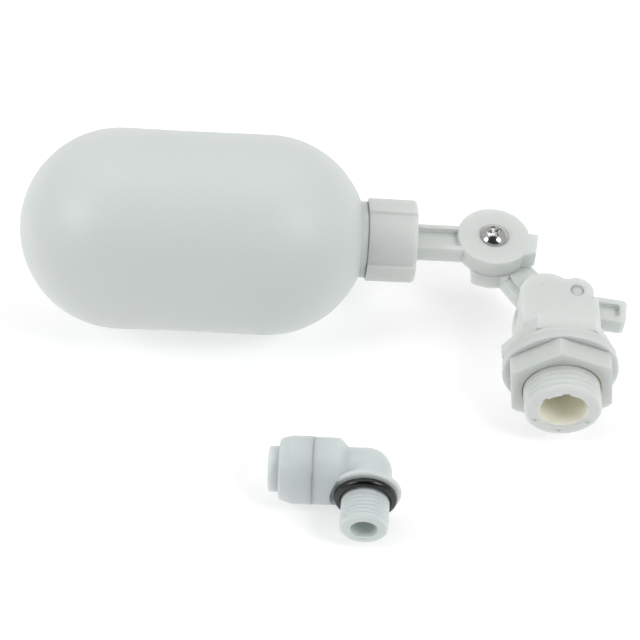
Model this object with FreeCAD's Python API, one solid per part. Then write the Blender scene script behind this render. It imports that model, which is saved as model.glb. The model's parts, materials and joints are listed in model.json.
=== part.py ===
import FreeCAD, Part
import math
import os

# Small side-arm float valve lying on its float and its hex nut, with its push-fit inlet elbow
# unscrewed and lying beside it. Millimetres, +Z up. The origin is on the threaded stud's axis, at
# the face of the hexagonal collar that clamps on a tank wall. The stud points along -Y.
# Valve pieces are drawn level, with the lever's pin along Z, and are then tilted about Y so that
# the float and the nut both touch the ground.

Vec = FreeCAD.Vector

# Threaded stud, collar and the pieces on the stud (G 3/8 outside, 1/8 inch taper port inside)
stud_r = 8.33
stud_len = 13.9
stud_pitch = 1.337
stud_thread_depth = 0.32
stud_end_chamfer = 0.45
inlet_r = 5.20
inlet_depth = 8.5
inlet_chamfer = 0.45
dimple_r = 0.5
dimple_depth = 0.28
notch_reach = 6.15
notch_width = 1.6
notch_angles = (92, 142)
collar_flats = 22.0
collar_thick = 3.4
gasket_r = 12.4
gasket_thick = 1.5
washer_r = 12.65
washer_thick = 1.7
stack_gap = 0.05
nut_flats = 21.8
nut_thick = 4.6
nut_turn = -4.5
stud_clearance = 0.09

# Body block with its two cheeks
cheek_z = 6.5
block_left = -9.0
block_right = 8.5
crown_x = -2.6
crown_y = 13.1
crown_r = 6.4
ear_r = 3.7
slot_half = 2.25
slot_floor = 10.7
slot_tail_floor = 9.2
edge_round = 0.5

# Nozzle and plunger on the stud's axis
waterway_r = 2.0
nozzle_r = 3.2
nozzle_bore_r = 1.3
nozzle_back = 2.0
nozzle_lip = 5.8
chamber_r = 4.0
chamber_start = 4.8
pad_r = 2.6
pad_thick = 1.6
pad_lift = 0.5
plunger_r = 3.85
plunger_head = 2.6
plunger_stem_r = 1.9
plunger_back = 11.8

# Lever: pin, cam nose, blade, tail and lower knuckle
pin_x = 3.9
pin_y = 14.9
pin_r = 1.25
lever_half = 2.0
hub_r = 3.0
nose_r = 1.2
tail_angle = -7.0
tail_len = 11.6
tail_width = 6.2
knuckle_x = -14.0
knuckle_y = 29.26
knuckle_r = 8.1
blade_ledge = 1.2

# Float arm: upper knuckle, bar and root; the arm is clamped a little off the lever's line
arm_turn = 0.55
arm_bottom = 2.1
knuckle_top = 6.7
bar_top = 6.5
bar_width = 7.2
bar_offset = 0.9
bar_flange = 1.25
bar_pocket = 1.4
root_r = 6.9
root_thick = 1.6

# Clamp screw (M3 pan head) and its nut
screw_r = 1.45
screw_head_r = 3.0
screw_head_h = 1.7
screw_clearance = 0.08
screw_dish = 0.14
screw_dish_rim = 0.35
nut_m3_flats = 5.5
nut_m3_thick = 2.2

# Float, its neck and the cap on it
float_r = 22.2
float_wall = 1.5
float_left_centre = -96.8
float_right_centre = -64.5
neck_end = -36.3
neck_r = 6.9
neck_bore_r = 5.0
shoulder_r = 8.5
shoulder_left = -44.2
cap_left = -42.5
cap_right = -31.6
cap_r = 8.8
cap_rib_r = 9.45
cap_rib_first = 69
cap_rib_half_angle = 21
cap_round = 0.9
cap_bore_r = 7.2
cap_wall = 1.6
cap_hole_r = 4.7
liner_thick = 1.2

# Push-fit elbow, drawn with its tube socket along -X and its thread along -Y
elbow_turn = -3.2
elbow_x = -42.2
elbow_y = -26.4
ring_front = -18.6
ring_back = -11.4
ring_r = 7.3
barrel_r = 7.2
barrel_end = -5.9
leg_r = 5.35
drop_leg_r = 5.4
face_flange_r = 7.6
face_flange_y = -4.4
face_flange_thick = 1.2
nipple_r = 5.15
nipple_end = -14.6
nipple_pitch = 0.941
nipple_thread_depth = 0.3
nipple_relief_r = 4.75
nipple_undercut = 2.1
nipple_bore_r = 2.9
tube_r = 3.25
collet_head_r = 4.9
collet_front = -20.9
face_oring_cord = 0.98
face_oring_r = 5.8
tube_oring_cord = 0.85
tube_oring_r = 4.1

X_AXIS = Vec(1, 0, 0)
Y_AXIS = Vec(0, 1, 0)
Z_AXIS = Vec(0, 0, 1)

nut_back = -(gasket_thick + washer_thick + 3 * stack_gap)
nut_corner_r = nut_flats / math.sqrt(3)
float_axis_y = knuckle_y - bar_offset
float_axis_z = (arm_bottom + bar_top) / 2
ground_z = -nut_corner_r


def rest_tilt():
    """The turn about Y, in degrees, at which the float just touches the ground that the nut stands on."""
    reach = math.hypot(float_right_centre, float_axis_z)
    lean = math.atan2(float_axis_z, -float_right_centre)
    return math.degrees(math.asin((float_r + ground_z) / reach) - lean)


def cyl(radius, start, end, axis="y", centre=(0, 0)):
    """A cylinder along one axis, from start to end; centre holds the other two coordinates in order."""
    a, b = centre
    base = {"x": Vec(start, a, b), "y": Vec(a, start, b), "z": Vec(a, b, start)}[axis]
    direction = {"x": X_AXIS, "y": Y_AXIS, "z": Z_AXIS}[axis]
    return Part.makeCylinder(radius, end - start, base, direction)


def box(x0, x1, y0, y1, z0, z1):
    """A block between two corners."""
    return Part.makeBox(x1 - x0, y1 - y0, z1 - z0, Vec(x0, y0, z0))


def slab(points, z0, z1):
    """A closed plan outline of straight sides, raised from z0 to z1."""
    corners = [Vec(x, y, z0) for x, y in points]
    wire = Part.makePolygon(corners + corners[:1])
    return Part.Face(wire).extrude(Vec(0, 0, z1 - z0))


def turned(profile, axis="y"):
    """A solid of revolution; profile is (distance along the axis, radius) from one end to the other."""
    if axis == "y":
        corners = [Vec(r, a, 0) for a, r in profile]
        direction = Y_AXIS
    else:
        corners = [Vec(a, r, 0) for a, r in profile]
        direction = X_AXIS
    wire = Part.makePolygon(corners + corners[:1])
    return Part.Face(wire).revolve(Vec(0, 0, 0), direction, 360)


def hexagon(flats, start, end, corner_up, chamfer):
    """A hexagonal prism along Y whose corners are cut back by a shallow cone at both ends."""
    corner_r = flats / math.sqrt(3)
    first = math.pi / 2 if corner_up else 0
    corners = []
    for i in range(6):
        angle = first + i * math.pi / 3
        corners.append(Vec(corner_r * math.cos(angle), start, corner_r * math.sin(angle)))
    prism = Part.Face(Part.makePolygon(corners + corners[:1])).extrude(Vec(0, end - start, 0))
    if chamfer <= 0:
        return prism
    face_r = corner_r - chamfer
    drop = chamfer * 0.6
    envelope = [(start, 0), (start, face_r), (start + drop, corner_r + 0.01)]
    envelope += [(end - drop, corner_r + 0.01), (end, face_r), (end, 0)]
    return prism.common(turned(envelope))


def thread_profile(start, end, crest_r, depth, pitch):
    """Points of a ring-grooved thread from start to end (start < end), crests at crest_r."""
    crest = 0.34 * pitch
    root = 0.16 * pitch
    flank = (pitch - crest - root) / 2
    count = int((end - start - crest) / pitch)
    points = [(start, crest_r)]
    a = start + crest
    for _ in range(count):
        points.append((a, crest_r))
        points.append((a + flank, crest_r - depth))
        points.append((a + flank + root, crest_r - depth))
        points.append((a + pitch - crest, crest_r))
        a += pitch
    points.append((end, crest_r))
    return points


def round_edges(shape, test, radius):
    """The shape with every edge that passes the test rounded together."""
    picked = [e for e in shape.Edges if test(e)]
    if not picked:
        return shape
    return shape.makeFillet(radius, picked)


def flat_at(edge, axis, value, tol=0.01):
    """True where a whole edge lies at one height along an axis ('XMin' and 'XMax' style names)."""
    bounds = edge.BoundBox
    low = getattr(bounds, axis + "Min")
    high = getattr(bounds, axis + "Max")
    return abs(low - value) < tol and abs(high - value) < tol


# ---- Body, stud and what is clamped on it ----

def valve_body():
    """Stud, hexagonal collar and cheek block in one moulding, bored for the inlet and the plunger."""
    stud = [(0.5, 0), (0.5, stud_r)]
    stud += [(-0.6, stud_r)]
    thread_end = -stud_len + stud_end_chamfer
    threads = thread_profile(thread_end, -0.6, stud_r, stud_thread_depth, stud_pitch)
    stud += threads[::-1]
    stud += [(-stud_len, stud_r - stud_end_chamfer), (-stud_len, 0)]
    body = turned(stud)
    body = body.fuse(hexagon(collar_flats, 0, collar_thick, False, 0))
    body = body.fuse(cheek_block())
    body = body.removeSplitter()
    body = body.cut(cyl(inlet_r, -stud_len - 1, -stud_len + inlet_depth))
    mouth = [(-stud_len - 0.1, 0), (-stud_len - 0.1, inlet_r + inlet_chamfer + 0.1)]
    mouth += [(-stud_len + inlet_chamfer, inlet_r), (-stud_len + inlet_chamfer, 0)]
    body = body.cut(turned(mouth))
    body = body.cut(cyl(waterway_r, -stud_len + inlet_depth - 0.5, nozzle_back + 0.5))
    body = body.cut(cyl(nozzle_r + 0.02, nozzle_back, chamber_start + 0.1))
    body = body.cut(cyl(chamber_r, chamber_start, slot_floor + 0.1))
    ring = (stud_r + inlet_r) / 2
    for turn in (-60, 0, 60):
        angle = math.radians(270 + turn)
        at = (ring * math.cos(angle), ring * math.sin(angle))
        body = body.cut(cyl(dimple_r, -stud_len - 1, -stud_len + dimple_depth, "y", at))
    for angle in notch_angles:
        notch = box(0, notch_reach, -stud_len - 1, -stud_len + 2.2, -notch_width / 2, notch_width / 2)
        notch.rotate(Vec(0, 0, 0), Y_AXIS, -angle)
        body = body.cut(notch)
    return body


def cheek_block():
    """The rounded block behind the collar, slotted for the lever and drilled for its pin."""
    plan = box(block_left, block_right, collar_thick - 0.5, crown_y, -cheek_z, cheek_z)
    plan = plan.cut(box(block_right - 3.0, block_right + 1, pin_y - 1.2, crown_y + 9, -9, 9))
    block = plan.fuse(cyl(crown_r, -cheek_z, cheek_z, "z", (crown_x, crown_y)))
    block = block.fuse(cyl(ear_r, -cheek_z, cheek_z, "z", (pin_x, pin_y)))
    block = block.fuse(box(crown_x, pin_x, crown_y - 0.5, pin_y + ear_r - 0.4, -cheek_z, cheek_z))
    block = block.removeSplitter()
    outer = [e for e in block.Edges if flat_at(e, "Z", cheek_z) or flat_at(e, "Z", -cheek_z)]
    outer = [e for e in outer if not flat_at(e, "Y", collar_thick - 0.5)]
    block = block.makeFillet(edge_round, outer)
    block = block.cut(box(-20, 20, slot_floor, 30, -slot_half, slot_half))
    block = block.cut(box(pin_x - 1.5, 20, slot_tail_floor, 30, -slot_half, slot_half))
    block = block.cut(cyl(pin_r + 0.01, -cheek_z - 1, cheek_z + 1, "z", (pin_x, pin_y)))
    for side in (-1, 1):
        low, high = sorted((side * (cheek_z - 0.6), side * (cheek_z + 1)))
        block = block.cut(cyl(pin_r + 0.35, low, high, "z", (pin_x, pin_y)))
    return block


def flange_gasket():
    """Soft ring against the collar's face."""
    ring = cyl(gasket_r, -stack_gap - gasket_thick, -stack_gap)
    ring = round_edges(ring, lambda e: e.BoundBox.XLength > 2 * gasket_r - 0.01, 0.4)
    return ring.cut(cyl(stud_r + stud_clearance, -5, 1))


def nut_washer():
    """Flat ring between the gasket (or the tank wall) and the nut."""
    front = nut_back + stack_gap
    ring = cyl(washer_r, front, front + washer_thick)
    ring = round_edges(ring, lambda e: e.BoundBox.XLength > 2 * washer_r - 0.01, 0.25)
    return ring.cut(cyl(stud_r + stud_clearance, -9, 1))


def mounting_nut():
    """Hexagonal plastic nut with a bored-out thread, screwed to where one corner points nearly straight down."""
    nut = hexagon(nut_flats, nut_back - nut_thick, nut_back, True, 0.5)
    bore = stud_r + stud_clearance
    nut = nut.cut(cyl(bore, nut_back - nut_thick - 1, nut_back + 1))
    front = nut_back - nut_thick
    lead = [(front - 0.1, 0), (front - 0.1, bore + 0.4), (front + 0.3, bore), (front + 0.3, 0)]
    nut = nut.cut(turned(lead))
    nut.rotate(Vec(0, 0, 0), Y_AXIS, nut_turn - rest_tilt())
    return nut


# ---- Nozzle, plunger and pad ----

def nozzle_seat():
    """Flanged insert with a raised round lip that the pad closes on."""
    seat = [(nozzle_back + 0.02, nozzle_bore_r + 0.4), (nozzle_back + 0.02, nozzle_r)]
    seat += [(chamber_start - 0.1, nozzle_r), (chamber_start - 0.1, nozzle_bore_r + 1.1)]
    seat += [(nozzle_lip - 0.3, nozzle_bore_r + 0.8), (nozzle_lip, nozzle_bore_r + 0.5)]
    seat += [(nozzle_lip, nozzle_bore_r + 0.1), (nozzle_lip - 0.2, nozzle_bore_r)]
    seat += [(nozzle_back + 0.8, nozzle_bore_r)]
    return turned(seat)


def seal_pad():
    """Rubber disc in the plunger's front."""
    front = nozzle_lip + pad_lift
    return cyl(pad_r, front, front + pad_thick)


def plunger():
    """Head with a pocket for the pad and four water flutes, and a stem that the lever's nose pushes."""
    front = nozzle_lip + pad_lift + 0.5
    head = cyl(plunger_r, front, front + plunger_head)
    head = head.cut(cyl(pad_r, front - 0.1, front + pad_thick - 0.5))
    for i in range(4):
        angle = math.radians(45 + 90 * i)
        at = (plunger_r * math.cos(angle), plunger_r * math.sin(angle))
        head = head.cut(cyl(0.8, front - 1, front + plunger_head + 1, "y", at))
    stem = cyl(plunger_stem_r, front + plunger_head - 0.2, plunger_back)
    stem = round_edges(stem, lambda e: flat_at(e, "Y", plunger_back), 0.4)
    return head.fuse(stem).removeSplitter()


# ---- Lever ----

def lever():
    """Lower knuckle, stepped blade, hub with its cam nose, and the cored tail, in one moulding."""
    nose_x = 0.0
    nose_y = plunger_back + 0.03 + nose_r
    knuckle = cyl(knuckle_r, -lever_half, lever_half, "z", (knuckle_x, knuckle_y))
    knuckle = knuckle.cut(box(-40, knuckle_x - 4.4, 10, 50, -9, 9))
    lower = slab([(-12.6, 22.2), (-8.9, 16.6), (-7.4, 14.8), (nose_x, nose_y - nose_r),
                  (nose_x + 1.4, nose_y - 0.1), (pin_x, pin_y - hub_r + 0.8), (pin_x + 0.6, pin_y + hub_r - 0.1),
                  (-3.2, 23.2), (-4.9, 25.4), (-9.5, 30.2)], -lever_half, blade_ledge)
    web = slab([(-10.9, 23.0), (-7.8, 17.8), (-5.6, 15.4), (nose_x - 0.4, nose_y - nose_r + 0.5),
                (nose_x + 1.4, nose_y), (pin_x, pin_y - hub_r + 0.9), (pin_x + 0.4, pin_y + hub_r - 0.1),
                (-4.2, 22.4), (-6.6, 25.0), (-10.5, 29.2)], -lever_half, lever_half)
    web = round_edges(web, lambda e: flat_at(e, "Z", lever_half), 0.35)
    body = knuckle.fuse([lower, web])
    body = body.fuse(cyl(nose_r, -lever_half, lever_half, "z", (nose_x, nose_y)))
    body = body.fuse(cyl(hub_r, -lever_half, lever_half, "z", (pin_x, pin_y)))
    body = body.fuse(cyl(1.1, 0, lever_half, "z", (knuckle_x + 2.6, knuckle_y - knuckle_r + 0.6)))
    body = body.fuse(tail()).removeSplitter()
    body = body.cut(cyl(pin_r + screw_clearance, -9, 9, "z", (pin_x, pin_y)))
    body = body.cut(cyl(screw_r + screw_clearance, -9, 9, "z", (knuckle_x, knuckle_y)))
    return body.cut(m3_hexagon(nut_m3_flats + 0.06, -lever_half - 1, -lever_half + nut_m3_thick + 0.1))


def tail():
    """Square-ended bar beyond the pin, hollowed from above and below to an even wall."""
    half = tail_width / 2
    bar = box(0, tail_len, -half, half, -lever_half, lever_half)
    ends = [e for e in bar.Edges if flat_at(e, "X", tail_len) and e.BoundBox.ZLength > lever_half]
    bar = bar.makeFillet(1.0, ends)
    for side in (-1, 1):
        low, high = sorted((side * (lever_half - 1.4), side * (lever_half + 1)))
        pocket = box(hub_r + 0.8, tail_len - 1.5, -half + 1.35, half - 1.35, low, high)
        ends = [e for e in pocket.Edges if flat_at(e, "X", tail_len - 1.5) and e.BoundBox.ZLength > 1]
        bar = bar.cut(pocket.makeFillet(0.8, ends))
    bar.rotate(Vec(0, 0, 0), Z_AXIS, tail_angle)
    bar.translate(Vec(pin_x, pin_y - 0.4, 0))
    return bar


def lever_pin():
    """Steel pin pressed through both cheeks."""
    pin = cyl(pin_r, -cheek_z + 0.35, cheek_z - 0.35, "z", (pin_x, pin_y))
    return round_edges(pin, lambda e: e.BoundBox.ZLength < 0.01 and e.BoundBox.XLength > pin_r, 0.2)


def m3_hexagon(flats, z0, z1):
    """A hexagonal block about the clamp screw's axis."""
    corner_r = flats / math.sqrt(3)
    points = []
    for i in range(6):
        angle = math.radians(60 * i)
        points.append((knuckle_x + corner_r * math.cos(angle), knuckle_y + corner_r * math.sin(angle)))
    return slab(points, z0, z1)


# ---- Float arm, screw and nut ----

def float_arm():
    """Upper knuckle with its stop tab, the channelled bar and the round root held in the cap."""
    disc = cyl(knuckle_r, arm_bottom, knuckle_top, "z", (knuckle_x, knuckle_y))
    kx, ky = knuckle_x, knuckle_y
    tab = slab([(kx + 6.6, ky + 1.5), (kx + 10.1, ky + 1.0), (kx + 9.3, ky - 4.4), (kx + 5.6, ky - 5.4)],
               arm_bottom, knuckle_top)
    disc = disc.fuse(tab).removeSplitter()
    disc = round_edges(disc, lambda e: flat_at(e, "Z", knuckle_top), 0.45)
    root_right = cap_right - cap_wall - 0.1
    by = float_axis_y
    bar = box(root_right - 0.5, kx - 5.5, by - bar_width / 2, by + bar_width / 2, arm_bottom, bar_top)
    bar = round_edges(bar, lambda e: e.BoundBox.XLength > 5, 0.35)
    inner = bar_width / 2 - bar_flange
    for z0, z1 in ((bar_top - bar_pocket, bar_top + 1), (arm_bottom - 1, arm_bottom + 0.9)):
        pocket = box(cap_right - 0.2, kx - knuckle_r + 0.9, by - inner, by + inner, z0, z1)
        ends = [e for e in pocket.Edges if e.BoundBox.ZLength > 1 and e.BoundBox.XLength < 0.01]
        bar = bar.cut(pocket.makeFillet(0.6, ends))
    root = cyl(root_r, root_right - root_thick, root_right, "x", (by, float_axis_z))
    throat = cyl(cap_hole_r - 0.25, root_right - 0.5, cap_right + 0.5, "x", (by, float_axis_z))
    bar = bar.common(cyl(9, kx - 40, kx, "x", (by, float_axis_z)))
    arm = disc.fuse([bar, root, throat.common(bar_envelope())]).removeSplitter()
    arm = arm.cut(cyl(screw_head_r + screw_dish_rim, knuckle_top - screw_dish, knuckle_top + 1, "z", (kx, ky)))
    return arm.cut(cyl(screw_r + 0.02, -9, 20, "z", (kx, ky)))


def bar_envelope():
    """The bar's full section, without its channels, where it passes through the cap's end."""
    y0 = float_axis_y - bar_width / 2
    return box(cap_right - 5, cap_right + 1, y0, y0 + bar_width, arm_bottom, bar_top)


def clamp_screw():
    """Pan-head cross-recess machine screw."""
    seat = knuckle_top - screw_dish
    dome_r = (screw_head_r ** 2 + screw_head_h ** 2) / (2 * screw_head_h)
    at = (knuckle_x, knuckle_y)
    dome = Part.makeSphere(dome_r * 1.12, Vec(*at, seat + screw_head_h - dome_r * 1.12))
    head = cyl(screw_head_r, seat + 0.01, seat + screw_head_h, "z", at).common(dome)
    top = seat + screw_head_h
    for angle in (20, 110):
        slot = box(-1.55, 1.55, -0.33, 0.33, top - 0.95, top + 1)
        slot.rotate(Vec(0, 0, 0), Z_AXIS, angle)
        slot.translate(Vec(knuckle_x, knuckle_y, 0))
        head = head.cut(slot)
    for angle in (65, 155):
        slot = box(-1.05, 1.05, -0.14, 0.14, top - 0.5, top + 1)
        slot.rotate(Vec(0, 0, 0), Z_AXIS, angle)
        slot.translate(Vec(knuckle_x, knuckle_y, 0))
        head = head.cut(slot)
    shank = cyl(screw_r, -lever_half + 0.1, seat + 0.1, "z", at)
    return head.fuse(shank).removeSplitter()


def clamp_nut():
    """M3 hexagon nut sunk in the underside of the lever's knuckle."""
    nut = m3_hexagon(nut_m3_flats, -lever_half + 0.02, -lever_half + nut_m3_thick)
    return nut.cut(cyl(screw_r + screw_clearance, -9, 9, "z", (knuckle_x, knuckle_y)))


# ---- Float ----

def float_solid(radius, neck_radius, neck_to):
    """A capsule with a plain neck on its right end, turned about the float's own axis."""
    left, right = float_left_centre, float_right_centre
    meet = right + math.sqrt(radius ** 2 - neck_radius ** 2)
    middle = radius * math.cos(math.pi / 4)
    on_right = math.asin(neck_radius / radius) / 2 + math.pi / 4
    back = Part.Arc(Vec(left - radius, 0, 0), Vec(left - middle, middle, 0), Vec(left, radius, 0))
    side = Part.LineSegment(Vec(left, radius, 0), Vec(right, radius, 0))
    shoulder = Part.Arc(Vec(right, radius, 0),
                        Vec(right + radius * math.cos(on_right), radius * math.sin(on_right), 0),
                        Vec(meet, neck_radius, 0))
    neck = Part.LineSegment(Vec(meet, neck_radius, 0), Vec(neck_to, neck_radius, 0))
    end = Part.LineSegment(Vec(neck_to, neck_radius, 0), Vec(neck_to, 0, 0))
    axis = Part.LineSegment(Vec(neck_to, 0, 0), Vec(left - radius, 0, 0))
    outline = Part.Wire([piece.toShape() for piece in (back, side, shoulder, neck, end, axis)])
    solid = Part.Face(outline).revolve(Vec(0, 0, 0), X_AXIS, 360)
    solid.translate(Vec(0, float_axis_y, float_axis_z))
    return solid


def float_shell():
    """Blow-moulded hollow float with a shoulder and a neck that the cap screws over."""
    outer = float_solid(float_r, neck_r, neck_end)
    shoulder = cyl(shoulder_r, shoulder_left, cap_left - 0.1, "x", (float_axis_y, float_axis_z))
    outer = outer.fuse(shoulder).removeSplitter()
    inner = float_solid(float_r - float_wall, neck_bore_r, neck_end + 1)
    return outer.cut(inner)


def float_cap():
    """Screw cap with three broad ribs, a threaded skirt and a hole for the arm."""
    at = (float_axis_y, float_axis_z)
    cap = rounded_drum(cap_r)
    ribs = [rib_solid(cap_rib_first + 120 * i) for i in range(3)]
    cap = cap.fuse(ribs).removeSplitter()
    cap = cap.cut(cyl(cap_bore_r, cap_left - 1, cap_right - cap_wall, "x", at))
    return cap.cut(cyl(cap_hole_r, cap_left, cap_right + 1, "x", at))


def rounded_drum(radius):
    """A drum as long as the cap, with its right rim rounded well and its left rim a little."""
    drum = cyl(radius, cap_left, cap_right, "x", (float_axis_y, float_axis_z))
    drum = round_edges(drum, lambda e: flat_at(e, "X", cap_right), cap_round)
    return round_edges(drum, lambda e: flat_at(e, "X", cap_left), cap_round / 3)


def rib_solid(middle):
    """One rib of the cap: a sector of a larger drum, its long edges rounded."""
    corners = [Vec(cap_left - 1, float_axis_y, float_axis_z)]
    for turn in (-cap_rib_half_angle, 0, cap_rib_half_angle):
        angle = math.radians(middle + turn)
        reach = 1.3 * cap_rib_r
        at_y = float_axis_y + reach * math.cos(angle)
        at_z = float_axis_z + reach * math.sin(angle)
        corners.append(Vec(cap_left - 1, at_y, at_z))
    wedge = Part.Face(Part.makePolygon(corners + corners[:1])).extrude(Vec(cap_right - cap_left + 2, 0, 0))
    rib = wedge.common(cyl(cap_rib_r, cap_left, cap_right, "x", (float_axis_y, float_axis_z)))
    axis = Vec(cap_left, float_axis_y, float_axis_z)
    rib = round_edges(rib, lambda e: e.BoundBox.XLength > 5 and e.Vertexes[0].Point.distanceToLine(
        axis, X_AXIS) > cap_rib_r - 0.1, 0.5)
    return rib.common(rounded_drum(cap_rib_r))


def cap_liner():
    """Soft ring between the arm's root and the float's neck."""
    end = neck_end + 0.05
    ring = cyl(neck_r, end, end + liner_thick, "x", (float_axis_y, float_axis_z))
    return ring.cut(cyl(neck_bore_r, end - 1, end + liner_thick + 1, "x", (float_axis_y, float_axis_z)))


# ---- Push-fit elbow ----

def elbow_body():
    """Barrel back half, rounded bend, face flange and threaded nipple."""
    barrel = turned([(ring_back, 0), (ring_back, barrel_r), (barrel_end, barrel_r),
                     (barrel_end + 0.8, barrel_r - 0.7), (barrel_end + 1.4, leg_r + 0.4),
                     (barrel_end + 2.0, leg_r), (barrel_end + 2.0, 0)], "x")
    level = cyl(leg_r, barrel_end, 0, "x")
    corner = Part.makeSphere(drop_leg_r, Vec(0, 0, 0))
    corner = corner.fuse(cyl(drop_leg_r, face_flange_y, 0, "y"))
    flange = cyl(face_flange_r, face_flange_y - face_flange_thick, face_flange_y, "y")
    flange = round_edges(flange, lambda e: e.BoundBox.XLength > 2 * face_flange_r - 0.01, 0.5)
    base = face_flange_y - face_flange_thick
    relief = nipple_relief_r
    nipple = [(base + 0.5, 0), (base + 0.5, relief), (base - nipple_undercut + 0.1, relief)]
    threads = thread_profile(nipple_end + 0.4, base - nipple_undercut, nipple_r, nipple_thread_depth, nipple_pitch)
    nipple += threads[::-1]
    nipple += [(nipple_end, nipple_r - 0.4), (nipple_end, 0)]
    barrel = barrel.cut(cyl(face_flange_r, nipple_end, base, "y"))
    body = barrel.fuse([level, corner, flange, turned(nipple)]).removeSplitter()
    body = body.cut(cyl(nipple_bore_r, nipple_end - 1, 0, "y"))
    body = body.cut(Part.makeSphere(nipple_bore_r, Vec(0, 0, 0)))
    body = body.cut(cyl(nipple_bore_r - 0.4, barrel_end - 1, 0, "x"))
    body = body.cut(cyl(tube_r, ring_back - 1, barrel_end + 1.3, "x"))
    return body.cut(cyl(tube_oring_r + tube_oring_cord + 0.05, ring_back - 1, ring_back + 2.8, "x"))


def elbow_ring():
    """Front ring of the barrel that keeps the collet in."""
    hole = collet_head_r - 0.3
    ring = turned([(ring_back - 0.02, 5.3), (ring_back - 0.02, barrel_r), (ring_back - 0.25, ring_r),
                   (ring_front + 3.0, ring_r), (ring_front + 2.1, barrel_r), (ring_front + 2.0, barrel_r - 0.1),
                   (ring_front + 0.6, 6.75), (ring_front, 6.3), (ring_front, collet_head_r + 0.1),
                   (ring_front + 2.4, collet_head_r + 0.1), (ring_front + 2.4, hole),
                   (ring_front + 4.2, hole), (ring_front + 4.6, 5.3)], "x")
    return ring


def elbow_collet():
    """Release collet: a head that fingers press, a thin stem and a barbed inner end."""
    stem = collet_head_r - 0.45
    back = ring_front + 5.5
    return turned([(collet_front + 0.3, tube_r), (collet_front, tube_r + 0.3),
                   (collet_front, collet_head_r - 0.25), (collet_front + 0.25, collet_head_r),
                   (ring_front + 0.8, collet_head_r), (ring_front + 0.8, stem),
                   (back - 0.9, stem), (back - 0.7, stem + 0.5), (back, stem + 0.3),
                   (back, tube_r)], "x")


def collet_teeth():
    """Thin steel ring at the collet's inner end, with its gripping teeth cut as notches."""
    start = ring_front + 5.53
    ring = cyl(4.6, start, start + 0.3, "x").cut(cyl(tube_r + 0.03, start - 1, start + 1, "x"))
    for i in range(8):
        gap = box(start - 1, start + 1, -0.18, 0.18, tube_r - 0.4, tube_r + 0.75)
        gap.rotate(Vec(0, 0, 0), X_AXIS, 45 * i)
        ring = ring.cut(gap)
    return ring


def oring_spacer():
    """Ring that keeps the tube's O-ring in its chamber."""
    ring = cyl(tube_oring_r + tube_oring_cord, ring_back + 0.05, ring_back + 0.75, "x")
    return ring.cut(cyl(tube_r + 0.05, ring_back - 1, ring_back + 2, "x"))


def tube_oring():
    """Inner O-ring that seals on the tube."""
    at = Vec(ring_back + 0.8 + tube_oring_cord, 0, 0)
    return Part.makeTorus(tube_oring_r, tube_oring_cord - 0.02, at, X_AXIS)


def face_oring():
    """Black O-ring against the face flange, round the nipple."""
    at = Vec(0, face_flange_y - face_flange_thick - face_oring_cord - 0.02, 0)
    return Part.makeTorus(face_oring_r, face_oring_cord, at, Y_AXIS)


valve_pieces = [valve_body, flange_gasket, nut_washer, mounting_nut, nozzle_seat, seal_pad, plunger,
                lever, lever_pin, clamp_nut]
arm_pieces = [float_arm, clamp_screw, float_shell, float_cap, cap_liner]
elbow_pieces = [elbow_body, elbow_ring, elbow_collet, collet_teeth, oring_spacer, tube_oring, face_oring]


def placed_arm(shape):
    """A piece of the arm or float, turned about the clamp screw and then placed with the valve."""
    shape.rotate(Vec(knuckle_x, knuckle_y, 0), Z_AXIS, arm_turn)
    return placed_valve(shape)


def placed_valve(shape):
    """A valve piece turned about the stud's axis into its resting place."""
    shape.rotate(Vec(0, 0, 0), Y_AXIS, rest_tilt())
    return shape


def placed_elbow(shape):
    """An elbow piece turned and laid on the same ground."""
    shape.rotate(Vec(0, 0, 0), Z_AXIS, elbow_turn)
    shape.translate(Vec(elbow_x, elbow_y, ground_z + face_flange_r))
    return shape


def write_piece(name, shape):
    """One STEP file for one named piece."""
    shape.exportStep(os.path.join("parts", name + ".step"))
    print(name, "solids", len(shape.Solids), "valid", shape.isValid(), "volume", round(shape.Volume, 1))


def main():
    os.makedirs("parts", exist_ok=True)
    for make in valve_pieces:
        write_piece(make.__name__, placed_valve(make()))
    for make in arm_pieces:
        write_piece(make.__name__, placed_arm(make()))
    for make in elbow_pieces:
        write_piece(make.__name__, placed_elbow(make()))


main()
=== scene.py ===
import json
import math
import bpy
import numpy as np
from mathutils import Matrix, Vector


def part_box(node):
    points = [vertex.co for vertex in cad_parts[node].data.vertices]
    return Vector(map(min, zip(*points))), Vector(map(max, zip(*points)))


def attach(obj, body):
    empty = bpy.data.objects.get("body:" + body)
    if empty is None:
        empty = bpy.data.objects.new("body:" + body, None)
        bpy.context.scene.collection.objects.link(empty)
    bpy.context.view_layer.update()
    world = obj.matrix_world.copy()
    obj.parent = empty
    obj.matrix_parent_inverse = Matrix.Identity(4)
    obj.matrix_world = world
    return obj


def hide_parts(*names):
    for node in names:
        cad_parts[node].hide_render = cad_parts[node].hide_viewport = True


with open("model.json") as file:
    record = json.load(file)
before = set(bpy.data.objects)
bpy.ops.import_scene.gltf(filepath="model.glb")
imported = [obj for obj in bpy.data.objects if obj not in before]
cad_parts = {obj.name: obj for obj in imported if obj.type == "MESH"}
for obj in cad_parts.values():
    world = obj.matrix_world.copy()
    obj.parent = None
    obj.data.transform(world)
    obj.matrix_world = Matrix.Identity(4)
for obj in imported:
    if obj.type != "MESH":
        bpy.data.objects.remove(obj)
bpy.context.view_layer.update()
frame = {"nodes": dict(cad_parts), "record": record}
nodes = frame["nodes"]
groundZ = min(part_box("mounting_nut")[0][2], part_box("float_shell")[0][2])
print("frame loaded:", len(nodes), "nodes")


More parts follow.
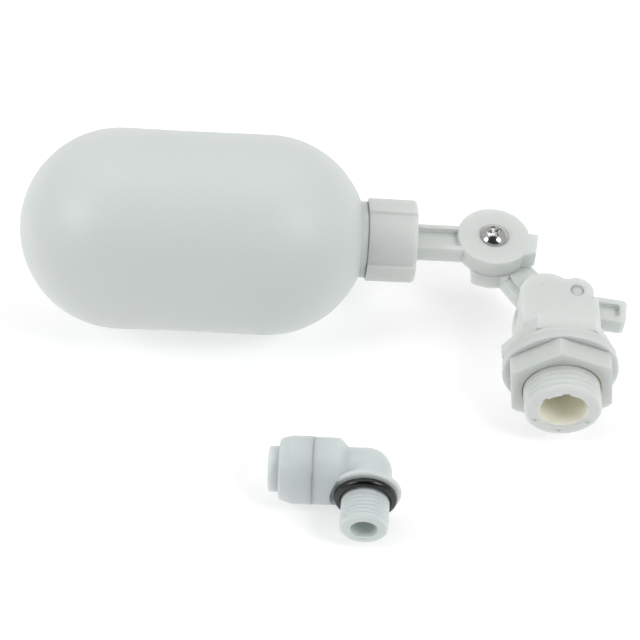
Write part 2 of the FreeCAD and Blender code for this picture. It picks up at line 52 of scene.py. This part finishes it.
# A value in a shader graph. Python sums on it add the Math nodes that work the sum out.
class Value:
    def __init__(self, graph, socket):
        self.graph = graph
        self.socket = socket

    def sum(self, operation, first, second):
        return self.graph.node("ShaderNodeMath", {"operation": operation}, {0: first, 1: second}, "Value")

    def __add__(self, other):
        return self.sum("ADD", self, other)

    def __mul__(self, other):
        return self.sum("MULTIPLY", self, other)

    def __truediv__(self, other):
        return self.sum("DIVIDE", self, other)


# The node graph of a material or a world. node() makes any node: its settings are set first, and then
# its sockets.
class Graph:
    def __init__(self, holder):
        self.holder = holder
        self.holder.use_nodes = True
        self.tree = self.holder.node_tree
        self.tree.nodes.clear()
        self.place = self.node("ShaderNodeTexCoord", {}, {}, "Object")

    def node(self, kind, settings, sockets, out=0):
        made = self.tree.nodes.new(kind)
        for key, value in settings.items():
            if key == "stops":
                self.setStops(made.color_ramp, value)
            else:
                setattr(made, key, value)
        for key, value in sockets.items():
            self.feed(made.inputs[key], value)
        return Value(self, made.outputs[out]) if len(made.outputs) else made

    def setStops(self, ramp, stops):
        while len(ramp.elements) < len(stops):
            ramp.elements.new(0.5)
        for element, (position, shade) in zip(ramp.elements, stops):
            element.position = position
            element.color = (shade, shade, shade, 1.0)

    def feed(self, socket, value):
        if isinstance(value, Value):
            self.tree.links.new(value.socket, socket)
        else:
            socket.default_value = value

    def noise(self, scale, detail=2.0, roughness=0.5, stretch=(1.0, 1.0, 1.0)):
        vector = self.place
        if stretch != (1.0, 1.0, 1.0):
            vector = self.node("ShaderNodeMapping", {}, {"Vector": self.place, "Scale": stretch}, "Vector")
        sockets = {"Vector": vector, "Scale": scale, "Detail": detail, "Roughness": roughness}
        return self.node("ShaderNodeTexNoise", {}, sockets, "Fac")

    # Sockets 6 and 7 are the Mix node's two colours, and output 2 is the mixed colour.
    def mix(self, factor, first, second):
        sockets = {"Factor": factor, 6: first, 7: second}
        return self.node("ShaderNodeMix", {"data_type": "RGBA"}, sockets, 2)

    def ramp(self, factor, stops):
        return self.node("ShaderNodeValToRGB", {"stops": stops}, {"Fac": factor}, "Color")

    def bump(self, height, strength, distance):
        sockets = {"Height": height, "Strength": strength, "Distance": distance}
        return self.node("ShaderNodeBump", {}, sockets, "Normal")

    # 1 inside a bore of this radius along the stud's axis, 0 outside, from x squared plus z squared.
    def insideBore(self, radius):
        x = self.node("ShaderNodeSeparateXYZ", {}, {"Vector": self.place}, "X")
        z = self.node("ShaderNodeSeparateXYZ", {}, {"Vector": self.place}, "Z")
        away = (x * x + z * z) / (radius * radius)
        return self.ramp(away, [(0.0, 1.0), (0.96, 1.0), (1.0, 0.0)])

    def surface(self, sockets):
        shader = self.node("ShaderNodeBsdfPrincipled", {}, sockets, "BSDF")
        self.node("ShaderNodeOutputMaterial", {}, {"Surface": shader})
        return self.holder


def shade(colour, factor):
    return tuple(channel * factor for channel in colour[:3]) + (1.0,)


# Moulded plastic: cloudy tone, faint flow streaks, a fine satin skin, scuffs that show in the gloss,
# and a few specks of dust; where a bore is given, painted warm light inside it.
def mouldedPlastic(name, colour, look):
    g = Graph(bpy.data.materials.new(name))
    cloud = g.noise(look["cloud"], 3.0, 0.6)
    flow = g.noise(look["cloud"] * look["flowScale"], 2.0, 0.5, look["flow"])
    skin = g.noise(look["grain"], 3.0, 0.65)
    scuff = g.noise(look["cloud"] * look["scuffScale"], 6.0, 0.75)
    cell = g.node("ShaderNodeTexVoronoi", {}, {"Vector": g.place, "Scale": look["speckScale"]}, "Distance")
    speck = g.ramp(cell, [(0.0, 1.0), (look["speckSize"], 0.0)])
    streaks = cloud * look["cloudShare"] + flow * look["flowShare"]
    tone = g.mix(streaks, shade(colour, 1.0 - look["depth"]), shade(colour, 1.0 + look["depth"]))
    tone = g.mix(speck * look["speckShow"], tone, shade(colour, look["speckTone"]))
    # Painted light: inside the bore the tone turns to a pale, warm glow.
    if "boreRadius" in look:
        tone = g.mix(g.insideBore(look["boreRadius"]), tone, look["boreTone"])
    rough = g.ramp(scuff, [(0.35, 0.0), (0.75, 1.0)]) * look["scuff"] + look["rough"]
    height = skin * 0.5 + flow * 0.5
    return g.surface({
        "Base Color": tone, "Roughness": rough, "IOR": 1.49, "Subsurface Weight": look["depthLight"],
        "Subsurface Radius": (1.0, 1.0, 0.95), "Subsurface Scale": look["depthScale"],
        "Normal": g.bump(height, look["bump"], look["bumpHeight"])})


plasticLook = {
    "cloud": 70.0, "cloudShare": 0.65, "flow": (1.0, 0.35, 1.0), "flowScale": 2.2, "flowShare": 0.35,
    "grain": 2600.0, "speckScale": 160.0, "speckSize": 0.07, "speckShow": 0.25, "speckTone": 0.45,
    "depth": 0.022, "scuff": 0.16, "scuffScale": 5.0, "rough": 0.36, "bump": 0.35, "bumpHeight": 0.00012,
    "depthLight": 0.6, "depthScale": 0.004}


# Bright nickel-plated steel with fine turning marks about the screw's own axis.
def brightSteel(name, colour, rough):
    g = Graph(bpy.data.materials.new(name))
    cloud = g.noise(900.0, 3.0, 0.6)
    scratch = g.noise(1500.0, 4.0, 0.7, (1.0, 6.0, 1.0))
    tone = g.mix(cloud, shade(colour, 0.9), shade(colour, 1.05))
    return g.surface({
        "Base Color": tone, "Metallic": 1.0, "Roughness": scratch * 0.12 + rough,
        "Normal": g.bump(scratch, 0.25, 0.00003)})


# Rubber: near-black or pale, slightly dusty, with a fine moulded skin.
def rubber(name, colour, rough, dust):
    g = Graph(bpy.data.materials.new(name))
    cloud = g.noise(400.0, 4.0, 0.7)
    skin = g.noise(3000.0, 3.0, 0.6)
    dusty = g.ramp(cloud, [(0.55, 0.0), (0.85, 1.0)])
    tone = g.mix(dusty * dust, shade(colour, 1.0), shade(colour, 2.2))
    return g.surface({
        "Base Color": tone, "Roughness": dusty * 0.25 + rough, "IOR": 1.52,
        "Normal": g.bump(skin, 0.3, 0.00006)})


finishes = {
    "white_acetal": mouldedPlastic("whiteAcetal", (0.66, 0.69, 0.672), plasticLook),
    # Copy of the acetal with painted warm light inside the valve body's bore.
    "bore_lit_acetal": mouldedPlastic("boreLitAcetal", (0.66, 0.69, 0.672), plasticLook | {
        "boreRadius": 0.00535, "boreTone": (0.92, 0.90, 0.79, 1.0)}),
    "white_polypropylene": mouldedPlastic("whitePolypropylene", (0.65, 0.68, 0.66),
                                          plasticLook | {"rough": 0.42, "cloud": 90.0}),
    # Copy of the polypropylene with painted warm light inside the nut's bore.
    "bore_lit_polypropylene": mouldedPlastic("boreLitPolypropylene", (0.62, 0.65, 0.628), plasticLook | {
        "rough": 0.42, "cloud": 90.0, "boreRadius": 0.0089, "boreTone": (0.66, 0.62, 0.44, 1.0)}),
    "float_polyethylene": mouldedPlastic("floatPolyethylene", (0.66, 0.70, 0.685),
                                         plasticLook | {"cloud": 26.0, "rough": 0.40,
                                                        "depthLight": 0.5, "speckShow": 0.1}),
    "elbow_plastic": mouldedPlastic("elbowPlastic", (0.60, 0.655, 0.65),
                                    plasticLook | {"cloud": 110.0, "depthLight": 0.8, "depthScale": 0.005}),
    "screw_steel": brightSteel("screwSteel", (0.60, 0.60, 0.59), 0.06),
    "inner_steel": brightSteel("innerSteel", (0.55, 0.55, 0.54), 0.28),
    "silicone": rubber("paleSilicone", (0.64, 0.66, 0.63), 0.45, 0.1),
    "black_rubber": rubber("blackRubber", (0.0035, 0.0035, 0.004), 0.22, 0.4),
    "grey_rubber": rubber("greyRubber", (0.08, 0.08, 0.085), 0.5, 0.5),
}

# The two pieces whose bores show get painted warm light inside them: a creamier tone in the bore.
boreLightFinish = {"valve_body": "bore_lit_acetal", "mounting_nut": "bore_lit_polypropylene"}
slotOf = {row["node"]: row["material_slot"] for row in frame["record"]["subparts"]}
for name, node in nodes.items():
    node.data.materials.clear()
    node.data.materials.append(finishes[boreLightFinish.get(name, slotOf[name])])
print("finishes on", len(nodes), "nodes")


jointOf = {row["name"]: row for row in frame["record"]["behaviour"]["joints"]}
mountOf = {row["name"]: row for row in frame["record"]["mounts"]}
valveUp = np.array(jointOf["lever_swing"]["axis"])  # square to the lever, a little off the world's Z


# Faces for a grid of points, as rows of vertex numbers. Columns always wrap round; rows wrap too when
# wrapRows is set, and otherwise the first and last rows shrink to one point each.
def gridFaces(rows, columns, wrapRows):
    spans = rows if wrapRows else rows - 1
    i, j = np.meshgrid(np.arange(spans), np.arange(columns), indexing="ij")
    nextRow, nextColumn = (i + 1) % rows, (j + 1) % columns
    here, there = i * columns, nextRow * columns
    return np.stack([here + j, there + j, there + nextColumn, here + nextColumn], axis=-1).reshape(-1, 4)


# A mesh piece from points[row, column, xyz]. Poles are merged, and the faces are turned outward by the
# sign of the volume, one sixth of the sum of a . (b x c) over the triangles.
def surfacePiece(name, points, wrapRows, body, slotName, stands):
    rows, columns = points.shape[:2]
    flat = points.reshape(-1, 3)
    faces = gridFaces(rows, columns, wrapRows)
    if not wrapRows:
        number = np.arange(rows * columns)
        number[:columns] = 0
        number[-columns:] = (rows - 1) * columns
        faces = number[faces]
    a, b, c, d = (flat[faces[:, k]] for k in range(4))
    volume = np.sum(a * np.cross(b, c)) + np.sum(a * np.cross(c, d))
    if volume < 0:
        faces = faces[:, ::-1]
    used, faces = np.unique(faces, return_inverse=True)
    faces = faces.reshape(-1, 4)
    polygons = [list(dict.fromkeys(row)) for row in faces.tolist()]
    mesh = bpy.data.meshes.new(name)
    mesh.from_pydata(flat[used].tolist(), [], polygons)
    mesh.polygons.foreach_set("use_smooth", np.ones(len(polygons), dtype=bool))
    mesh.materials.append(finishes[slotName])
    piece = bpy.data.objects.new(name, mesh)
    bpy.context.scene.collection.objects.link(piece)
    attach(piece, body)
    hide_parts(*stands)
    print(name, "made:", len(polygons), "faces")


# Points = centre + along * s + (side * cos v + up * sin v) * r, with s and r given in millimetres.
def turnedPoints(centre, along, up, s, r, v):
    side = np.cross(up, along)
    ring = side * np.cos(v)[..., None] + up * np.sin(v)[..., None]
    return centre + (along * s[..., None] + ring * r[..., None]) / 1000


# 0 below low, 1 above high, and the smooth cubic t * t * (3 - 2 t) between.
def smoothStep(low, high, x):
    t = np.clip((x - low) / (high - low), 0.0, 1.0)
    return t * t * (3 - 2 * t)


floatLook = {
    "radius": 22.2, "leftCentre": -65.2, "rightCentre": -32.9, "shoulderRadius": 8.5, "shoulderEnd": -11.0,
    "neckRadius": 6.9, "neckEnd": -4.7, "bodyFrom": 9.0, "bodyFull": 14.0, "seamDepth": 0.035,
    "seamWidth": 0.35, "seamTurn": 0.35, "sag": 0.05, "gateDepth": 0.16, "gateRadius": 1.3, "gateFlat": 0.8,
    "leftRows": 90, "middleRows": 58, "rightRows": 80, "around": 288}


# The float: two domes of one radius joined by a cylinder, s = centre + R cos a and r = R sin a, then the
# shoulder and neck that go into the cap. The wall sinks by a shallow sine between its ends, by a fine
# mould line where the two halves met, and by a round gate mark at the left tip.
def makeFloat(look):
    big = look["radius"]
    end, shoulder = look["shoulderEnd"], look["shoulderRadius"]
    tip, neck = look["neckEnd"], look["neckRadius"]
    left = np.linspace(math.pi, math.pi / 2, look["leftRows"])
    right = np.linspace(math.pi / 2, math.asin(shoulder / big), look["rightRows"])
    middle = np.linspace(look["leftCentre"], look["rightCentre"], look["middleRows"] + 2)[1:-1]
    s = np.concatenate([
        look["leftCentre"] + big * np.cos(left), middle, look["rightCentre"] + big * np.cos(right),
        [end - 0.3, end - 0.05, end, end, end, tip - 0.05, tip, tip, tip]])
    r = np.concatenate([
        big * np.sin(left), np.full(look["middleRows"], big), big * np.sin(right),
        [shoulder, shoulder - 0.05, shoulder - 0.3, neck + 0.2, neck, neck, neck - 0.05, neck - 2, 0]])
    v = np.linspace(0, 2 * math.pi, look["around"], endpoint=False)
    s, v = np.meshgrid(s, v, indexing="ij")
    r = np.repeat(r[:, None], v.shape[1], axis=1)
    body = smoothStep(look["bodyFrom"], look["bodyFull"], r)
    span = (s - look["leftCentre"]) / (look["rightCentre"] - look["leftCentre"])
    sag = look["sag"] * np.sin(math.pi * np.clip(span, 0, 1)) ** 2
    seamAway = np.abs(np.sin(v - look["seamTurn"])) * r
    seam = look["seamDepth"] * np.exp(-(seamAway / look["seamWidth"]) ** 2)
    r = r - body * (sag + seam)
    gate = look["gateDepth"] * (1 - smoothStep(look["gateRadius"] * look["gateFlat"], look["gateRadius"], r))
    s = s + gate * (s < look["leftCentre"])
    joint = jointOf["float_turn"]
    points = turnedPoints(np.array(joint["pos_m"]), np.array(joint["axis"]), valveUp, s, r, v)
    surfacePiece("floatSkin", points, False, "float", "float_polyethylene", ["float_shell"])


capLook = {
    "radius": 8.8, "ribRadius": 9.44, "ribMiddles": (69.0, 189.0, 309.0), "ribHalf": 21.0, "ribEdge": 3.4,
    "length": 10.9, "round": 0.9, "wall": 1.6, "hole": 4.7, "bore": 7.2, "around": 480, "draft": 0.06,
    "dishDepth": 0.18, "dishFrom": 5.2, "dishTo": 7.9, "dishEdge": 0.4, "growFrom": 6.0, "growFull": 7.9,
    "roundRows": 9, "sideRows": 24, "faceRows": 21}


# The cap: a closed section (outside, rounded rim, end face, hole, bore) carried round its axis. The
# outside radius grows from the drum to the ribs by a smooth step on the angle from each rib's middle,
# and shrinks by the draft along the cap. The end face sinks by a shallow ring.
def makeCap(look):
    quarter = np.linspace(0, math.pi / 2, look["roundRows"])
    rim, small = look["round"], look["round"] / 3
    length, wall, hole, bore = look["length"], look["wall"], look["hole"], look["bore"]
    side = np.linspace(-length + small, -rim, look["sideRows"] + 2)[1:-1]
    face = np.linspace(look["radius"] - rim, hole + 0.3, look["faceRows"] + 1)[1:]
    s = np.concatenate([
        (-length + small * (1 - np.sin(quarter)))[::-1], side, -rim + rim * np.sin(quarter),
        np.zeros(len(face)), [-0.09, -0.3, -wall + 0.05, -wall, -wall, -length]])
    r = np.concatenate([
        look["radius"] - small * (1 - np.sin(quarter)), np.full(len(side), look["radius"]),
        look["radius"] - rim * (1 - np.cos(quarter)), face,
        [hole + 0.09, hole, hole, hole + 0.05, bore, bore]])
    inside = len(s) - 2 * len(quarter) - len(side) - len(face)
    grow = np.concatenate([
        np.ones(2 * len(quarter) + len(side)), smoothStep(look["growFrom"], look["growFull"], face),
        np.zeros(inside)])
    v = np.linspace(0, 2 * math.pi, look["around"], endpoint=False)
    rib = np.zeros_like(v)
    for middle in look["ribMiddles"]:
        away = np.abs((np.degrees(v) - middle + 180) % 360 - 180)
        rib = np.maximum(rib, 1 - smoothStep(look["ribHalf"] - look["ribEdge"], look["ribHalf"], away))
    sink = look["dishDepth"] * smoothStep(look["dishFrom"], look["dishFrom"] + look["dishEdge"], r)
    sink = sink * (1 - smoothStep(look["dishTo"] - look["dishEdge"], look["dishTo"], r)) * (s > -0.01)
    s = s - sink
    draft = look["draft"] * (s + length) / length * (grow > 0.99)
    rows = r[:, None] - draft[:, None] + grow[:, None] * rib[None, :] * (look["ribRadius"] - look["radius"])
    s, v = np.meshgrid(s, v, indexing="ij")
    joint = jointOf["float_turn"]
    points = turnedPoints(np.array(joint["pos_m"]), np.array(joint["axis"]), valveUp, s, rows, v)
    surfacePiece("ribbedCap", points, True, "float", "white_polypropylene", ["float_cap"])


screwLook = {
    "headRadius": 3.0, "domeRadius": 3.917, "top": 8.5, "seat": 6.57, "shankRadius": 1.44, "shankEnd": -1.9,
    "armWidth": 0.40, "armReach": 1.62, "depth": 1.15, "slope": 0.42, "tickWidth": 0.13, "tickReach": 1.25,
    "tickDepth": 0.35, "turn": 20.0, "bandEdge": 0.05, "bandFade": 0.2, "fineReach": 1.9, "fineRows": 120,
    "rimRows": 25, "around": 320}


# The screw: height over its axis = top - (D - sqrt(D * D - rho * rho)) for a dome of radius D, less a
# cross recess whose arms are smooth bands |across| < width and |along| < reach, deepest at the middle,
# and four shallow ticks between the arms. Under the head it runs in to the shank and down to its end.
def makeScrew(look):
    head, shank, seat, foot = look["headRadius"], look["shankRadius"], look["seat"], look["shankEnd"]
    fine = np.linspace(0, look["fineReach"], look["fineRows"])
    rho = np.concatenate([fine, np.linspace(look["fineReach"], head - 0.08, look["rimRows"] + 1)[1:]])
    v = np.linspace(0, 2 * math.pi, look["around"], endpoint=False)
    rho, v = np.meshgrid(rho, v, indexing="ij")
    dome = look["domeRadius"]
    height = look["top"] - (dome - np.sqrt(dome * dome - rho * rho))
    recess = np.zeros_like(height)
    arm = (look["armWidth"], look["armReach"], look["depth"])
    tick = (look["tickWidth"], look["tickReach"], look["tickDepth"])
    for turn, (width, reach, depth) in ((0, arm), (90, arm), (45, tick), (135, tick)):
        angle = v - math.radians(look["turn"] + turn)
        along, across = np.abs(rho * np.cos(angle)), np.abs(rho * np.sin(angle))
        band = 1 - smoothStep(width - look["bandEdge"], width + look["bandEdge"], across)
        band = band * (1 - smoothStep(reach - look["bandFade"], reach, along))
        recess = np.maximum(recess, band * (depth - look["slope"] * along))
    height = height - recess
    edge = height[-1, 0]
    below = [(head - 0.02, edge - 0.05), (head, edge - 0.14), (head, seat + 0.05), (head - 0.05, seat),
             (shank + 0.1, seat), (shank, seat - 0.1), (shank, foot + 0.3), (shank - 0.3, foot), (0.0, foot)]
    under = np.repeat(np.array(below)[:, None, :], v.shape[1], axis=1)
    rho = np.concatenate([rho, under[:, :, 0]])
    height = np.concatenate([height, under[:, :, 1]])
    v = np.concatenate([v, np.repeat(v[:1], len(below), axis=0)])
    along = np.array(jointOf["float_turn"]["axis"])
    points = turnedPoints(np.array(jointOf["arm_adjust"]["pos_m"]), valveUp, along, height, rho, v)
    surfacePiece("crossHeadScrew", points, False, "arm", "screw_steel", ["clamp_screw"])


ringLook = {"radius": 5.8, "cord": 0.97, "flash": 0.012, "flashWidth": 0.10, "around": 256, "section": 72}


# The face O-ring: a torus whose cord swells by a narrow flash line at its outer and inner equators.
def makeFaceRing(look):
    low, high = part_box("face_oring")
    nipple = np.array(mountOf["elbow_nipple"]["axis"])
    centre = (np.array(low) + np.array(high)) / 2
    u = np.linspace(0, 2 * math.pi, look["section"], endpoint=False)
    v = np.linspace(0, 2 * math.pi, look["around"], endpoint=False)
    u, v = np.meshgrid(u, v, indexing="ij")
    cord = look["cord"] - look["flash"] + look["flash"] * np.exp(-(np.sin(u) / look["flashWidth"]) ** 2)
    away = look["radius"] + cord * np.cos(u)
    points = turnedPoints(centre, nipple, np.array([0.0, 0.0, 1.0]), cord * np.sin(u), away, v)
    surfacePiece("faceRing", points, True, "elbow", "black_rubber", ["face_oring"])


makeFloat(floatLook)
makeCap(capLook)
makeScrew(screwLook)
makeFaceRing(ringLook)


stageLook = {
    "floorSize": 6.0, "floorDrop": 0.00002, "floorTone": (0.62, 0.62, 0.62, 1.0), "floorGlow": 0.50,
    "paperScale": 30.0, "paperDepth": 0.005, "worldStrength": 0.60,
    "darkToward": (0.0, -0.66, 0.75), "darkEdge": (0.66, 0.80), "darkTone": 0.08}


# The floor: a sheet of pale paper that glows a little, just under the pieces that rest on it.
def makeFloor():
    half = stageLook["floorSize"] / 2
    z = groundZ - stageLook["floorDrop"]
    corners = [(-half, -half, z), (half, -half, z), (half, half, z), (-half, half, z)]
    mesh = bpy.data.meshes.new("floor")
    mesh.from_pydata(corners, [], [(0, 1, 2, 3)])
    floor = bpy.data.objects.new("floor", mesh)
    bpy.context.scene.collection.objects.link(floor)
    g = Graph(bpy.data.materials.new("floorPaper"))
    paper = g.noise(stageLook["paperScale"], 3.0, 0.6)
    darker = shade(stageLook["floorTone"], 1.0 - stageLook["paperDepth"])
    tone = g.mix(paper, darker, shade(stageLook["floorTone"], 1.0 + stageLook["paperDepth"]))
    mesh.materials.append(g.surface({
        "Base Color": tone, "Roughness": 0.9, "Specular IOR Level": 0.0,
        "Emission Color": (1.0, 1.0, 1.0, 1.0), "Emission Strength": stageLook["floorGlow"]}))


# A pale room with one dark wall, which the bright steel reflects: the sky's tone falls from 1 to the
# dark tone as its direction turns to that wall.
def makeWorld():
    world = bpy.data.worlds.new("studio")
    g = Graph(world)
    facing = g.node("ShaderNodeTexCoord", {}, {}, "Generated")
    sockets = {0: facing, 1: stageLook["darkToward"]}
    wall = g.node("ShaderNodeVectorMath", {"operation": "DOT_PRODUCT"}, sockets, "Value")
    tone = g.ramp(wall, [(stageLook["darkEdge"][0], 1.0), (stageLook["darkEdge"][1], stageLook["darkTone"])])
    sky = g.node("ShaderNodeBackground", {}, {"Color": tone, "Strength": stageLook["worldStrength"]})
    g.node("ShaderNodeOutputWorld", {}, {"Surface": sky})
    bpy.context.scene.world = world


# One soft rectangular light at its place, turned so that it shines at its aim.
def makeSoftbox(name, place, aim, size, power):
    data = bpy.data.lights.new(name, "AREA")
    data.shape = "RECTANGLE"
    data.size, data.size_y = size
    data.energy = power
    light = bpy.data.objects.new(name, data)
    bpy.context.scene.collection.objects.link(light)
    light.location = place
    toward = np.array(aim) - np.array(place)
    light.rotation_euler = Vector(toward).to_track_quat("-Z", "Y").to_euler()


# Each softbox: name, place and aim in metres, size in metres, and watts.
softboxes = [
    ("leftBox", (-0.62, -0.16, 0.50), (-0.07, 0.0, 0.0), (0.26, 0.34), 1.75),
    ("rightBox", (0.42, -0.24, 0.55), (-0.05, 0.0, 0.0), (0.24, 0.30), 2.0),
    ("topBox", (-0.05, 0.34, 0.95), (-0.05, 0.0, 0.0), (1.2, 0.7), 2.5),
]

cameraLook = {"place": (-0.05217, -0.33577, 0.42872), "elevation": 51.0, "lens": 140.6}


# The camera looks along +Y and down by its elevation, without a turn or a roll.
def makeCamera():
    data = bpy.data.cameras.new("camera")
    data.lens = cameraLook["lens"]
    data.sensor_width = 36.0
    camera = bpy.data.objects.new("camera", data)
    bpy.context.scene.collection.objects.link(camera)
    camera.location = cameraLook["place"]
    camera.rotation_euler = (math.radians(90.0 - cameraLook["elevation"]), 0.0, 0.0)
    bpy.context.scene.camera = camera


makeFloor()
makeWorld()
for box in softboxes:
    makeSoftbox(*box)
makeCamera()
bpy.context.scene.view_settings.view_transform = "Standard"
print("stage, light and camera made")
